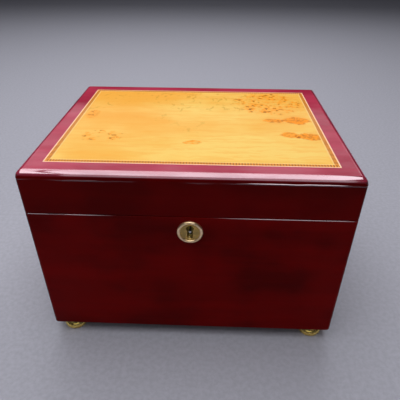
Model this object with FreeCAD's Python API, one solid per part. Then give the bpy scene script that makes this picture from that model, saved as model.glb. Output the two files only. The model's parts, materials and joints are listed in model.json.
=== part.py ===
"""Lacquered keepsake box with an inlaid burl lid, a box lock, rim hinges and a lift-out tray.

The frame has +Z up and the front of the box towards -Y. Its origin is on the floor, under
the middle of the box. All sizes are in millimetres.
"""
import FreeCAD, Part
import math
import os

V = FreeCAD.Vector

# Outside of the box
WIDTH = 280.0
DEPTH = 220.0
FOOT_HEIGHT = 13.0
BODY_HEIGHT = 137.3  # from the underside of the base to the middle of the seam
LID_HEIGHT = 39.9  # from the middle of the seam to the top
SEAM_GAP = 0.5
CORNER_RADIUS = 3.6
TOP_EDGE_RADIUS = 6.3
BOTTOM_EDGE_RADIUS = 2.0
RIM_ARRIS = 0.7

# Boards and linings
WALL = 12.0
BASE_BOARD = 9.0
TOP_BOARD = 10.0
LINER = 2.5
LINER_DROP = 2.0  # how far the body's linings stop below the rim
LID_LINER_RISE = 0.8  # how far the lid's linings start above its rim
BASE_PAD = 5.0
LID_PAD = 6.0
PAD_EDGE_RADIUS = 3.0
PAD_CLEARANCE = 0.3

# Inlay in the top, from its outer edge inwards
INLAY_MARGIN = 17.8
INLAY_DEPTH = 0.8
STRING = 1.1
BANDING = 3.4

# Turned feet: each is set in from the side and from the front or back
FOOT_INSET_X = 17.0
FOOT_INSET_Y = 14.0
FOOT_RADIUS = 12.0
FOOT_BUN_Z = 3.4  # height of the widest ring
FOOT_BASE_RADIUS = 9.4
FOOT_UNDER_BULGE = 0.85
FOOT_SHOULDER_RADIUS = 10.4
FOOT_SHOULDER_Z = 7.0
FOOT_SHOULDER_BULGE = 0.4
FOOT_WAIST_RADIUS = 8.8
FOOT_WAIST_HOLLOW = 0.3
FOOT_COLLAR_RADIUS = 9.6
FOOT_COLLAR = 2.2
STUD_RADIUS = 2.0
STUD_LENGTH = 7.0

# Hinges: the pin lies inside the back face, and bevels behind it stop the lid
HINGE_LENGTH = 38.0
HINGE_X = 85.0
PIN_INSET = 2.5  # from the back face to the pin's axis
BARREL_RADIUS = 2.0
PIN_RADIUS = 1.0
PIN_RUNNING = 0.05
LEAF = 1.2
LEAF_REACH = 8.5  # from the pin's axis to the leaf's far edge
KNUCKLES = 5
KNUCKLE_GAP = 0.2
HINGE_SCREW_REACH = 5.3  # from the pin's axis to the leaf's screws
HINGE_SCREW_PITCH = 13.0
BARREL_CLEARANCE = 0.3
STOP_BEVEL = 49.0  # slope of each bevel, in degrees

# Box lock in the front wall
KEY_DROP = 15.1  # from the middle of the seam to the keyhole's middle
CASE_HALF_WIDTH = 21.5
CASE_DEPTH = 7.4
CASE_SKIN = 1.0
CASE_BELOW_KEY = 12.0
PLATE_HALF_WIDTH = 26.0
PLATE = 1.2
PLATE_BELOW_CASE = 3.0
PLATE_SCREW_RISE = 2.0  # from the foot of the case to the plate's lower screws
PLATE_SCREW_DROP = 13.0  # from the selvedge to the plate's upper screws
SELVEDGE = 1.5
SELVEDGE_DEPTH = 9.0
MORTISE_CLEARANCE = 0.2
BOLT_TRAVEL = 4.5
BOLT_CLEARANCE = 0.2
BOLT_TAIL = 0.8  # left of the last finger's post
BOLT_END_ROOM = 1.5  # left past the bolt's right end when it is shot
BOLT_BAR = 1.5  # lower bar of the bolt's frame
BOLT_STRIP = 2.0  # upper strip of the bolt's frame
BOLT_KEY_ROOM = 8.0  # half the width left for the key's bit
TALON = 1.6
TALON_X = 4.2
FINGER_POST = 2.6
FINGER_OVERRUN = 0.1
FINGER_STANDOFF = 0.5  # from an unlocked finger's tip to its staple
STAPLE_X = 9.0
STAPLE_HALF_X = 1.0
STAPLE_HALF_Y = 3.0
STAPLE_DROP = 6.8  # from the middle of the seam to the staple's lower end
STAPLE_BAR = 1.2
STAPLE_CLEARANCE = 0.5
STAPLE_FLOOR_GAP = 0.3  # from a staple's lower end to the bolt
WINDOW_HEIGHT = 3.4
WINDOW_HALF_Y = 1.9
FINGER_HEIGHT = 2.6
FINGER_HALF_Y = 1.5
STRIKE_HALF_WIDTH = 20.0
STRIKE_DEPTH = 8.2
STRIKE = 1.5
STRIKE_SCREW_X = 15.6
DRILL_PIN_RADIUS = 1.1
SPRING = 0.4
SPRING_HALF_LENGTH = 15.0
SPRING_HALF_Y = 2.0

# Escutcheon and keyhole
ESCUTCHEON_RADIUS = 11.2
ESCUTCHEON_PROUD = 2.2
ESCUTCHEON_RIM = 2.8
ESCUTCHEON_DISC = 0.9
KEYHOLE_ROUND_RADIUS = 3.1
KEYHOLE_ROUND_RISE = 3.4
KEYHOLE_SLOT_HALF = 2.4
KEYHOLE_SLOT_DROP = 4.2
KEYHOLE_EASE = 0.35
WALL_KEYWAY_HALF = 4.0
WALL_KEYWAY_RISE = 4.5

# Lift-out tray
TRAY_CLEARANCE = 0.8
TRAY_HEIGHT = 34.0
TRAY_TOP_DROP = 3.0
TRAY_WALL = 5.0
TRAY_FLOOR = 3.0
TRAY_LONG_DIVIDER_Y = 18.0
TRAY_DIVIDER = 4.0
TRAY_DIVIDER_HEIGHT = 26.0
TRAY_FRONT_DIVIDER_X = 40.0
TRAY_BACK_DIVIDER_X = 36.0
FINGER_NOTCH_RADIUS = 14.0
FINGER_NOTCH_DEPTH = 8.0
REST_WIDTH = 6.0
REST_HEIGHT = 8.0

# Brass wood screws: head radius, shank radius, head depth and length
SCREW_HEAD = 1.7
SCREW_SHANK = 0.9
SCREW_HEAD_DEPTH = 0.9
SCREW_LENGTH = 8.0
SCREW_POINT = 1.6

# Levels and half sizes that follow from the sizes above
HALF_W = WIDTH / 2
HALF_D = DEPTH / 2
SEAM_Z = FOOT_HEIGHT + BODY_HEIGHT
TOP_Z = SEAM_Z + LID_HEIGHT
RIM_Z = SEAM_Z - SEAM_GAP / 2
LID_RIM_Z = SEAM_Z + SEAM_GAP / 2
FLOOR_Z = FOOT_HEIGHT + BASE_BOARD
CEILING_Z = TOP_Z - TOP_BOARD
INNER_W = HALF_W - WALL
INNER_D = HALF_D - WALL
LINED_W = INNER_W - LINER
LINED_D = INNER_D - LINER
KEY_Z = SEAM_Z - KEY_DROP
PIN_Y = HALF_D - PIN_INSET
TRAY_HALF_W = LINED_W - TRAY_CLEARANCE
TRAY_HALF_D = LINED_D - TRAY_CLEARANCE
TRAY_TOP_Z = RIM_Z - TRAY_TOP_DROP
TRAY_Z = TRAY_TOP_Z - TRAY_HEIGHT
LOCK_Y = -INNER_D - (CASE_DEPTH - CASE_SKIN) / 2  # middle of the lock case's inside
CASE_Z = KEY_Z - CASE_BELOW_KEY
SIDES = ("front", "right", "back", "left")
CLOSE = 1e-4  # two lengths nearer than this are the same


def block(x0, x1, y0, y1, z0, z1):
    """A plain block between two corners."""
    return Part.makeBox(x1 - x0, y1 - y0, z1 - z0, V(x0, y0, z0))


def slab(half_x, half_y, z0, z1):
    """A block centred on the Z axis."""
    return block(-half_x, half_x, -half_y, half_y, z0, z1)


def prism(corners, z0, z1):
    """An upright prism on a plan polygon."""
    wire = Part.makePolygon([V(x, y, z0) for x, y in corners + corners[:1]])
    return Part.Face(wire).extrude(V(0, 0, z1 - z0))


def mitred_ring(half_x, half_y, width, z0, z1):
    """Four strips, mitred at the corners, just inside the edge of a rectangle."""
    inner_x = half_x - width
    inner_y = half_y - width
    outer = [(-half_x, -half_y), (half_x, -half_y), (half_x, half_y), (-half_x, half_y)]
    inner = [(-inner_x, -inner_y), (inner_x, -inner_y), (inner_x, inner_y), (-inner_x, inner_y)]
    strips = {}
    for i, side in enumerate(SIDES):
        j = (i + 1) % 4
        strips[side] = prism([outer[i], outer[j], inner[j], inner[i]], z0, z1)
    return strips


def turned(profile, x, y):
    """A solid turned about an upright axis from a closed (radius, height) wire of edges."""
    face = Part.Face(Part.Wire(profile))
    solid = face.revolve(V(0, 0, 0), V(0, 0, 1), 360)
    solid.translate(V(x, y, 0))
    return solid


def line(a, b):
    """A straight edge between two (radius, height) points of a turned profile."""
    return Part.makeLine(V(a[0], 0, a[1]), V(b[0], 0, b[1]))


def bowed(a, b, bulge):
    """A round edge between two points of a turned profile, bowed to the right of its run."""
    run = V(b[0] - a[0], 0, b[1] - a[1])
    middle = V((a[0] + b[0]) / 2, 0, (a[1] + b[1]) / 2)
    middle += V(run.z, 0, -run.x) * (bulge / run.Length)
    return Part.Arc(V(a[0], 0, a[1]), middle, V(b[0], 0, b[1])).toShape()


def level_edges(shape, z):
    """The edges that lie wholly at one height."""
    return [e for e in shape.Edges if all(abs(v.Point.z - z) < CLOSE for v in e.Vertexes)]


def screw(x, y, z, towards):
    """A countersunk wood screw with its head's face at a point, driven along a direction."""
    outline = [
        (0, 0),
        (SCREW_HEAD, 0),
        (SCREW_SHANK, SCREW_HEAD_DEPTH),
        (SCREW_SHANK, SCREW_LENGTH - SCREW_POINT),
        (0, SCREW_LENGTH),
    ]
    edges = [line(a, b) for a, b in zip(outline, outline[1:] + outline[:1])]
    body = turned(edges, 0, 0)
    turn = FreeCAD.Rotation(V(0, 0, 1), towards)
    body.Placement = FreeCAD.Placement(V(x, y, z), turn)
    return body


def outer_form():
    """The closed box as one rounded block, before it is sawn into body and lid."""
    form = slab(HALF_W, HALF_D, FOOT_HEIGHT, TOP_Z)
    upright = [e for e in form.Edges if e.BoundBox.ZLength > CLOSE]
    form = form.makeFillet(CORNER_RADIUS, upright)
    form = form.makeFillet(TOP_EDGE_RADIUS, level_edges(form, TOP_Z))
    return form.makeFillet(BOTTOM_EDGE_RADIUS, level_edges(form, FOOT_HEIGHT))


def stop_bevel(rise):
    """The wedge taken off a back rim, behind the hinge pin: rise is -1 on the body, 1 on the lid."""
    reach = 2 * PIN_INSET
    drop = rise * reach * math.tan(math.radians(STOP_BEVEL))
    corners = [V(-WIDTH, PIN_Y, SEAM_Z), V(-WIDTH, PIN_Y + reach, SEAM_Z)]
    corners += [V(-WIDTH, PIN_Y + reach, SEAM_Z + drop)]
    return Part.Face(Part.makePolygon(corners + corners[:1])).extrude(V(2 * WIDTH, 0, 0))


def sawn_halves():
    """The body and the lid as solid halves, with eased rims and bevelled back rims."""
    form = outer_form()
    body = form.common(slab(WIDTH, DEPTH, 0, RIM_Z))
    lid = form.common(slab(WIDTH, DEPTH, LID_RIM_Z, TOP_Z))
    body = body.makeFillet(RIM_ARRIS, level_edges(body, RIM_Z))
    lid = lid.makeFillet(RIM_ARRIS, level_edges(lid, LID_RIM_Z))
    return body.cut(stop_bevel(-1)), lid.cut(stop_bevel(1))


def knuckle_spans(first):
    """The x spans of every other knuckle of a hinge, from the given one on."""
    pitch = HINGE_LENGTH / KNUCKLES
    start = -HINGE_LENGTH / 2
    spans = []
    for i in range(first, KNUCKLES, 2):
        spans.append((start + i * pitch + KNUCKLE_GAP / 2, start + (i + 1) * pitch - KNUCKLE_GAP / 2))
    return spans


def barrel(x0, x1, radius):
    """A round bar on the hinge axis."""
    return Part.makeCylinder(radius, x1 - x0, V(x0, PIN_Y, SEAM_Z), V(1, 0, 0))


def hinge_leaf(own_first, z0, z1, bore):
    """A leaf with its knuckles, let into a rim between two heights."""
    half = HINGE_LENGTH / 2
    leaf = block(-half, half, PIN_Y - LEAF_REACH, PIN_Y, z0, z1)
    for x0, x1 in knuckle_spans(1 - own_first):
        leaf = leaf.cut(barrel(x0 - KNUCKLE_GAP, x1 + KNUCKLE_GAP, BARREL_RADIUS + BARREL_CLEARANCE))
    for x0, x1 in knuckle_spans(own_first):
        leaf = leaf.fuse(barrel(x0, x1, BARREL_RADIUS))
    return leaf.cut(barrel(-half, half, bore)).removeSplitter()


def hinge_screws(z, towards):
    """Three screws in a leaf."""
    y = PIN_Y - HINGE_SCREW_REACH
    return [screw(x, y, z, towards) for x in (-HINGE_SCREW_PITCH, 0, HINGE_SCREW_PITCH)]


def moved(shapes, x):
    """Copies of the shapes, shifted sideways."""
    return [s.translated(V(x, 0, 0)) for s in shapes]


def keyhole(y0, y1):
    """The keyhole as a solid plug: a round hole over a slot with a round end."""
    round_z = KEY_Z + KEYHOLE_ROUND_RISE
    slot_z = KEY_Z - KEYHOLE_SLOT_DROP
    depth = y1 - y0
    along = V(0, 1, 0)
    plug = Part.makeCylinder(KEYHOLE_ROUND_RADIUS, depth, V(0, y0, round_z), along)
    plug = plug.fuse(Part.makeCylinder(KEYHOLE_SLOT_HALF, depth, V(0, y0, slot_z), along))
    slot = block(-KEYHOLE_SLOT_HALF, KEYHOLE_SLOT_HALF, y0, y1, slot_z, round_z)
    return plug.fuse(slot).removeSplitter()


def keyway(y0, y1, half, rise):
    """A roomy round-ended slot for the key behind the escutcheon."""
    depth = y1 - y0
    along = V(0, 1, 0)
    plug = block(-half, half, y0, y1, KEY_Z - rise, KEY_Z + rise)
    for z in (KEY_Z - rise, KEY_Z + rise):
        plug = plug.fuse(Part.makeCylinder(half, depth, V(0, y0, z), along))
    return plug.removeSplitter()


def lock_pieces():
    """The lock in the body: case, plates, bolt, drill pin and screws."""
    inside_y = -INNER_D
    cover_z = RIM_Z - SELVEDGE
    case = block(-CASE_HALF_WIDTH, CASE_HALF_WIDTH, inside_y - CASE_DEPTH, inside_y, CASE_Z, cover_z)
    hollow_w = CASE_HALF_WIDTH - CASE_SKIN
    hollow_y = inside_y - CASE_DEPTH + CASE_SKIN
    case = case.cut(block(-hollow_w, hollow_w, hollow_y, inside_y, CASE_Z + CASE_SKIN, cover_z))
    case = case.cut(keyway(inside_y - CASE_DEPTH, hollow_y, WALL_KEYWAY_HALF, WALL_KEYWAY_RISE))

    plate_z = CASE_Z - PLATE_BELOW_CASE
    plate = block(-PLATE_HALF_WIDTH, PLATE_HALF_WIDTH, inside_y, inside_y + PLATE, plate_z, cover_z)
    lower_corners = [e for e in level_edges(plate, plate_z) if e.BoundBox.XLength < CLOSE]
    plate = plate.makeFillet(PLATE_BELOW_CASE, lower_corners)
    selvedge = block(-PLATE_HALF_WIDTH, PLATE_HALF_WIDTH, inside_y - SELVEDGE_DEPTH, inside_y + PLATE,
                     cover_z, RIM_Z)
    for x in (-STAPLE_X, STAPLE_X):
        room_x = STAPLE_HALF_X + STAPLE_CLEARANCE
        room_y = STAPLE_HALF_Y + STAPLE_CLEARANCE
        selvedge = selvedge.cut(block(x - room_x, x + room_x, LOCK_Y - room_y, LOCK_Y + room_y, 0, TOP_Z))

    pin_tip_y = -HALF_D - ESCUTCHEON_DISC / 2
    pin_length = inside_y + PLATE - pin_tip_y
    drill_pin = Part.makeCylinder(DRILL_PIN_RADIUS, pin_length, V(0, pin_tip_y, KEY_Z), V(0, 1, 0))
    plate = plate.cut(drill_pin)

    screws = []
    for x in (-1, 1):
        side_x = x * (CASE_HALF_WIDTH + PLATE_HALF_WIDTH) / 2
        for z in (CASE_Z + PLATE_SCREW_RISE, cover_z - PLATE_SCREW_DROP):
            screws.append(screw(side_x, inside_y + PLATE, z, V(0, -1, 0)))
        screws.append(screw(side_x, inside_y - SELVEDGE_DEPTH / 2, RIM_Z, V(0, 0, -1)))
    screws = Part.makeCompound(screws)
    return {
        "lock_case": case,
        "lock_back_plate": plate.cut(screws),
        "lock_selvedge": selvedge.cut(screws),
        "lock_bolt": lock_bolt(),
        "lock_spring": lock_spring(),
        "lock_drill_pin": drill_pin,
        "lock_screws": screws,
    }


def lock_bolt():
    """The sliding bolt: a frame round the key, with a hooked finger beside each staple."""
    y0 = LOCK_Y - (CASE_DEPTH - CASE_SKIN) / 2 + BOLT_CLEARANCE
    y1 = LOCK_Y + (CASE_DEPTH - CASE_SKIN) / 2 - BOLT_CLEARANCE
    finger = BOLT_TRAVEL + FINGER_OVERRUN
    hook = FINGER_STANDOFF + finger + FINGER_POST
    left = -STAPLE_X - STAPLE_HALF_X - hook - BOLT_TAIL
    right = CASE_HALF_WIDTH - CASE_SKIN - BOLT_TRAVEL - BOLT_END_ROOM
    low = KEY_Z - KEYHOLE_SLOT_DROP - KEYHOLE_SLOT_HALF - BOLT_BAR
    strip_top = SEAM_Z - STAPLE_DROP - STAPLE_FLOOR_GAP
    strip_low = strip_top - BOLT_STRIP

    bolt = block(left, right, y0, y1, low, strip_top)
    bolt = bolt.cut(block(-BOLT_KEY_ROOM, BOLT_KEY_ROOM, y0, y1, low + BOLT_BAR, strip_low))
    for x in (-TALON_X, TALON_X):
        bolt = bolt.fuse(block(x - TALON / 2, x + TALON / 2, y0, y1, strip_low - TALON, strip_low))
    finger_low = SEAM_Z - STAPLE_DROP + STAPLE_BAR + (WINDOW_HEIGHT - FINGER_HEIGHT) / 2
    finger_top = finger_low + FINGER_HEIGHT
    y0 = LOCK_Y - FINGER_HALF_Y
    y1 = LOCK_Y + FINGER_HALF_Y
    for x in (-STAPLE_X, STAPLE_X):
        tip = x - STAPLE_HALF_X - FINGER_STANDOFF
        root = tip - finger
        bolt = bolt.fuse(block(root - FINGER_POST, root, y0, y1, strip_top, finger_top))
        bolt = bolt.fuse(block(root, tip, y0, y1, finger_low, finger_top))
    return bolt.removeSplitter()


def lock_spring():
    """A bowed leaf spring on the floor of the case, under the bolt."""
    foot_z = CASE_Z + CASE_SKIN
    crown_z = KEY_Z - KEYHOLE_SLOT_DROP - KEYHOLE_SLOT_HALF - BOLT_BAR - BOLT_CLEARANCE
    y = LOCK_Y - SPRING_HALF_Y
    end = SPRING_HALF_LENGTH
    upper = Part.Arc(V(-end, y, foot_z + SPRING), V(0, y, crown_z), V(end, y, foot_z + SPRING))
    lower = Part.Arc(V(end, y, foot_z), V(0, y, crown_z - SPRING), V(-end, y, foot_z))
    edges = [upper.toShape(), Part.makeLine(V(end, y, foot_z + SPRING), V(end, y, foot_z))]
    edges += [lower.toShape(), Part.makeLine(V(-end, y, foot_z), V(-end, y, foot_z + SPRING))]
    return Part.Face(Part.Wire(edges)).extrude(V(0, 2 * SPRING_HALF_Y, 0))


def strike_pieces():
    """The plate on the lid's rim with its two staples, and its screws."""
    y0 = -INNER_D - STRIKE_DEPTH
    plate = block(-STRIKE_HALF_WIDTH, STRIKE_HALF_WIDTH, y0, -INNER_D, LID_RIM_Z, LID_RIM_Z + STRIKE)
    low = SEAM_Z - STAPLE_DROP
    for x in (-STAPLE_X, STAPLE_X):
        staple = block(x - STAPLE_HALF_X, x + STAPLE_HALF_X, LOCK_Y - STAPLE_HALF_Y,
                       LOCK_Y + STAPLE_HALF_Y, low, LID_RIM_Z + STRIKE)
        window_z = low + STAPLE_BAR
        window = block(x - 2 * STAPLE_HALF_X, x + 2 * STAPLE_HALF_X, LOCK_Y - WINDOW_HALF_Y,
                       LOCK_Y + WINDOW_HALF_Y, window_z, window_z + WINDOW_HEIGHT)
        plate = plate.fuse(staple.cut(window))
    screws = [screw(x, LOCK_Y, LID_RIM_Z, V(0, 0, 1)) for x in (-STRIKE_SCREW_X, STRIKE_SCREW_X)]
    screws = Part.makeCompound(screws)
    return {"strike_plate": plate.removeSplitter().cut(screws), "strike_screws": screws}


def escutcheon():
    """The round keyhole plate: a half-round rim about a flat disc, with an eased keyhole."""
    rim_in = ESCUTCHEON_RADIUS - ESCUTCHEON_RIM
    rim_height = ESCUTCHEON_PROUD - ESCUTCHEON_DISC
    outer = (ESCUTCHEON_RADIUS, ESCUTCHEON_DISC)
    inner = (rim_in, ESCUTCHEON_DISC)
    edges = [
        line((0, 0), (ESCUTCHEON_RADIUS, 0)),
        line((ESCUTCHEON_RADIUS, 0), outer),
        bowed(outer, inner, rim_height),
        line(inner, (0, ESCUTCHEON_DISC)),
        line((0, ESCUTCHEON_DISC), (0, 0)),
    ]
    plate = turned(edges, 0, 0)
    plate.Placement = FreeCAD.Placement(V(0, -HALF_D, KEY_Z), FreeCAD.Rotation(V(0, 0, 1), V(0, -1, 0)))
    plate = plate.cut(keyhole(-HALF_D - 2 * ESCUTCHEON_PROUD, -HALF_D))
    face_y = -HALF_D - ESCUTCHEON_DISC
    at_face = [e for e in plate.Edges if all(abs(v.Point.y - face_y) < CLOSE for v in e.Vertexes)]
    mouth = [e for e in at_face if e.BoundBox.XMax < rim_in - CLOSE]
    return plate.makeChamfer(KEYHOLE_EASE, mouth)


def foot(x, y):
    """A turned brass foot: flat base, low bun, waist and collar, with a stud into the base board."""
    base = (FOOT_BASE_RADIUS, 0)
    widest = (FOOT_RADIUS, FOOT_BUN_Z)
    shoulder = (FOOT_SHOULDER_RADIUS, FOOT_SHOULDER_Z)
    waist = (FOOT_WAIST_RADIUS, FOOT_HEIGHT - FOOT_COLLAR)
    collar = (FOOT_COLLAR_RADIUS, FOOT_HEIGHT - FOOT_COLLAR)
    stud_top = FOOT_HEIGHT + STUD_LENGTH
    edges = [
        line((0, 0), base),
        bowed(base, widest, FOOT_UNDER_BULGE),
        bowed(widest, shoulder, FOOT_SHOULDER_BULGE),
        bowed(shoulder, waist, -FOOT_WAIST_HOLLOW),
        line(waist, collar),
        line(collar, (FOOT_COLLAR_RADIUS, FOOT_HEIGHT)),
        line((FOOT_COLLAR_RADIUS, FOOT_HEIGHT), (STUD_RADIUS, FOOT_HEIGHT)),
        line((STUD_RADIUS, FOOT_HEIGHT), (STUD_RADIUS, stud_top)),
        line((STUD_RADIUS, stud_top), (0, stud_top)),
        line((0, stud_top), (0, 0)),
    ]
    return turned(edges, x, y)


def foot_places():
    """The feet's names and centres."""
    x = HALF_W - FOOT_INSET_X
    y = HALF_D - FOOT_INSET_Y
    return {
        "foot_front_left": (-x, -y),
        "foot_front_right": (x, -y),
        "foot_back_left": (-x, y),
        "foot_back_right": (x, y),
    }


def soft_pad(half_x, half_y, z0, z1, soft_z):
    """A flat pad whose edge is rounded on its open side."""
    pad = slab(half_x, half_y, z0, z1)
    return pad.makeFillet(PAD_EDGE_RADIUS, level_edges(pad, soft_z))


def tray_pieces():
    """The lift-out tray: mitred walls with finger notches, floor and dividers."""
    pieces = {}
    walls = mitred_ring(TRAY_HALF_W, TRAY_HALF_D, TRAY_WALL, TRAY_Z, TRAY_TOP_Z)
    notch_z = TRAY_TOP_Z + FINGER_NOTCH_RADIUS - FINGER_NOTCH_DEPTH
    notch = Part.makeCylinder(FINGER_NOTCH_RADIUS, WIDTH, V(-HALF_W, 0, notch_z), V(1, 0, 0))
    for side, wall in walls.items():
        pieces[f"tray_{side}"] = wall.cut(notch) if side in ("left", "right") else wall
    in_x = TRAY_HALF_W - TRAY_WALL
    in_y = TRAY_HALF_D - TRAY_WALL
    floor_top = TRAY_Z + TRAY_FLOOR
    divider_top = floor_top + TRAY_DIVIDER_HEIGHT
    half = TRAY_DIVIDER / 2
    y = TRAY_LONG_DIVIDER_Y
    pieces["tray_floor"] = slab(in_x, in_y, TRAY_Z, floor_top)
    pieces["tray_long_divider"] = block(-in_x, in_x, y - half, y + half, floor_top, divider_top)
    front = [block(x - half, x + half, -in_y, y - half, floor_top, divider_top)
             for x in (-TRAY_FRONT_DIVIDER_X, TRAY_FRONT_DIVIDER_X)]
    pieces["tray_front_dividers"] = Part.makeCompound(front)
    x = TRAY_BACK_DIVIDER_X
    pieces["tray_back_divider"] = block(x - half, x + half, y + half, in_y, floor_top, divider_top)
    return pieces


def hinge_pieces():
    """Both hinges: leaves, pins and screws."""
    half = HINGE_LENGTH / 2
    body_leaf = hinge_leaf(0, RIM_Z - LEAF, RIM_Z, PIN_RADIUS)
    lid_leaf = hinge_leaf(1, LID_RIM_Z, LID_RIM_Z + LEAF, PIN_RADIUS + PIN_RUNNING)
    body_screws = hinge_screws(RIM_Z, V(0, 0, -1))
    lid_screws = hinge_screws(LID_RIM_Z, V(0, 0, 1))
    body_leaf = body_leaf.cut(Part.makeCompound(body_screws))
    lid_leaf = lid_leaf.cut(Part.makeCompound(lid_screws))
    pieces = {}
    all_body_screws = []
    all_lid_screws = []
    for side, x in (("left", -HINGE_X), ("right", HINGE_X)):
        pieces[f"hinge_body_leaf_{side}"] = body_leaf.translated(V(x, 0, 0))
        pieces[f"hinge_lid_leaf_{side}"] = lid_leaf.translated(V(x, 0, 0))
        pieces[f"hinge_pin_{side}"] = barrel(x - half, x + half, PIN_RADIUS)
        all_body_screws += moved(body_screws, x)
        all_lid_screws += moved(lid_screws, x)
    pieces["hinge_body_screws"] = Part.makeCompound(all_body_screws)
    pieces["hinge_lid_screws"] = Part.makeCompound(all_lid_screws)
    return pieces


def hinge_room(z0, z1):
    """What a back rim loses to the hinges: a bed for each leaf and a trough for each barrel."""
    half = HINGE_LENGTH / 2
    rooms = []
    for x in (-HINGE_X, HINGE_X):
        bed = block(x - half, x + half, PIN_Y - LEAF_REACH, PIN_Y, z0, z1)
        trough = barrel(x - half - BARREL_CLEARANCE, x + half + BARREL_CLEARANCE,
                        BARREL_RADIUS + BARREL_CLEARANCE)
        rooms.append(bed.fuse(trough))
    return Part.makeCompound(rooms)


def lock_room():
    """What the front wall loses to the lock: mortise, selvedge bed and key way."""
    gap = MORTISE_CLEARANCE
    mortise_y = -INNER_D - CASE_DEPTH - gap
    half = CASE_HALF_WIDTH + gap
    room = block(-half, half, mortise_y, -INNER_D, CASE_Z - gap, RIM_Z)
    bed = block(-PLATE_HALF_WIDTH, PLATE_HALF_WIDTH, -INNER_D - SELVEDGE_DEPTH, -INNER_D,
                RIM_Z - SELVEDGE, RIM_Z)
    return room.fuse(bed).fuse(keyway(-HALF_D, mortise_y, WALL_KEYWAY_HALF, WALL_KEYWAY_RISE))


def carcase_pieces(body, lock_screws, hinge_screws_in_body):
    """The body's base board and its four mitred walls."""
    pieces = {}
    studs = [foot(x, y) for x, y in foot_places().values()]
    base = body.common(slab(WIDTH, DEPTH, 0, FLOOR_Z))
    pieces["base_board"] = base.cut(Part.makeCompound(studs))
    plans = mitred_ring(HALF_W, HALF_D, WALL, FLOOR_Z, SEAM_Z)
    for side, plan in plans.items():
        pieces[f"{side}_wall"] = body.common(plan)
    pieces["front_wall"] = pieces["front_wall"].cut(lock_room()).cut(lock_screws)
    back = pieces["back_wall"].cut(hinge_room(RIM_Z - LEAF, SEAM_Z))
    pieces["back_wall"] = back.cut(hinge_screws_in_body)
    return pieces


def lid_pieces(lid, strike_screws, hinge_screws_in_lid):
    """The lid's top board with its inlay bed, and its four mitred rails."""
    pieces = {}
    inlay_x = HALF_W - INLAY_MARGIN
    inlay_y = HALF_D - INLAY_MARGIN
    inlay_z = TOP_Z - INLAY_DEPTH
    top = lid.common(slab(WIDTH, DEPTH, CEILING_Z, TOP_Z))
    pieces["lid_top_board"] = top.cut(slab(inlay_x, inlay_y, inlay_z, TOP_Z))
    plans = mitred_ring(HALF_W, HALF_D, WALL, SEAM_Z, CEILING_Z)
    for side, plan in plans.items():
        pieces[f"lid_{side}_rail"] = lid.common(plan)
    strike_bed = block(-STRIKE_HALF_WIDTH, STRIKE_HALF_WIDTH, -INNER_D - STRIKE_DEPTH, -INNER_D,
                       LID_RIM_Z, LID_RIM_Z + STRIKE)
    front = pieces["lid_front_rail"].cut(strike_bed)
    pieces["lid_front_rail"] = front.cut(strike_screws)
    back = pieces["lid_back_rail"].cut(hinge_room(SEAM_Z, LID_RIM_Z + LEAF))
    pieces["lid_back_rail"] = back.cut(hinge_screws_in_lid)

    rings = (("inlay_outer_string", STRING), ("inlay_banding", BANDING), ("inlay_inner_string", STRING))
    for name, width in rings:
        strips = mitred_ring(inlay_x, inlay_y, width, inlay_z, TOP_Z)
        pieces[name] = Part.makeCompound(list(strips.values()))
        inlay_x -= width
        inlay_y -= width
    pieces["burl_panel"] = slab(inlay_x, inlay_y, inlay_z, TOP_Z)
    return pieces


def lining_pieces():
    """Covered boards on the walls, pads on the floor and in the lid, and the tray's rests."""
    pieces = {}
    body_top = RIM_Z - LINER_DROP
    for side, liner in mitred_ring(INNER_W, INNER_D, LINER, FLOOR_Z, body_top).items():
        pieces[f"liner_{side}"] = liner
    notch_half = PLATE_HALF_WIDTH + PAD_CLEARANCE
    notch_z = CASE_Z - PLATE_BELOW_CASE - PAD_CLEARANCE
    notch = block(-notch_half, notch_half, -HALF_D, 0, notch_z, TOP_Z)
    pieces["liner_front"] = pieces["liner_front"].cut(notch)
    lid_low = LID_RIM_Z + LID_LINER_RISE
    for side, liner in mitred_ring(INNER_W, INNER_D, LINER, lid_low, CEILING_Z).items():
        pieces[f"lid_liner_{side}"] = liner
    pad_x = LINED_W - PAD_CLEARANCE
    pad_y = LINED_D - PAD_CLEARANCE
    pad_top = FLOOR_Z + BASE_PAD
    pad_low = CEILING_Z - LID_PAD
    pieces["base_pad"] = soft_pad(pad_x, pad_y, FLOOR_Z, pad_top, pad_top)
    pieces["lid_pad"] = soft_pad(pad_x, pad_y, pad_low, CEILING_Z, pad_low)
    rests = []
    for x0 in (-LINED_W, LINED_W - REST_WIDTH):
        rests.append(block(x0, x0 + REST_WIDTH, -LINED_D, LINED_D, TRAY_Z - REST_HEIGHT, TRAY_Z))
    pieces["tray_rests"] = Part.makeCompound(rests)
    return pieces


def all_pieces():
    """Every piece of the box by its name."""
    body, lid = sawn_halves()
    lock = lock_pieces()
    strike = strike_pieces()
    hinges = hinge_pieces()
    pieces = {}
    pieces.update(carcase_pieces(body, lock["lock_screws"], hinges["hinge_body_screws"]))
    pieces.update(lid_pieces(lid, strike["strike_screws"], hinges["hinge_lid_screws"]))
    pieces.update(lining_pieces())
    pieces.update(tray_pieces())
    pieces.update(lock)
    pieces.update(strike)
    pieces.update(hinges)
    pieces["escutcheon"] = escutcheon()
    for name, (x, y) in foot_places().items():
        pieces[name] = foot(x, y)
    return pieces


def main():
    """Build the box and write one file for each piece."""
    os.makedirs("parts", exist_ok=True)
    for name, shape in all_pieces().items():
        if not shape.isValid() or not shape.Solids:
            raise RuntimeError(f"{name} is not a sound solid")
        shape.exportStep(f"parts/{name}.step")
        print(f"{name}: {len(shape.Solids)} solids, {shape.Volume / 1000:.2f} cm3")


if __name__ == "__main__":
    main()
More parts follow.
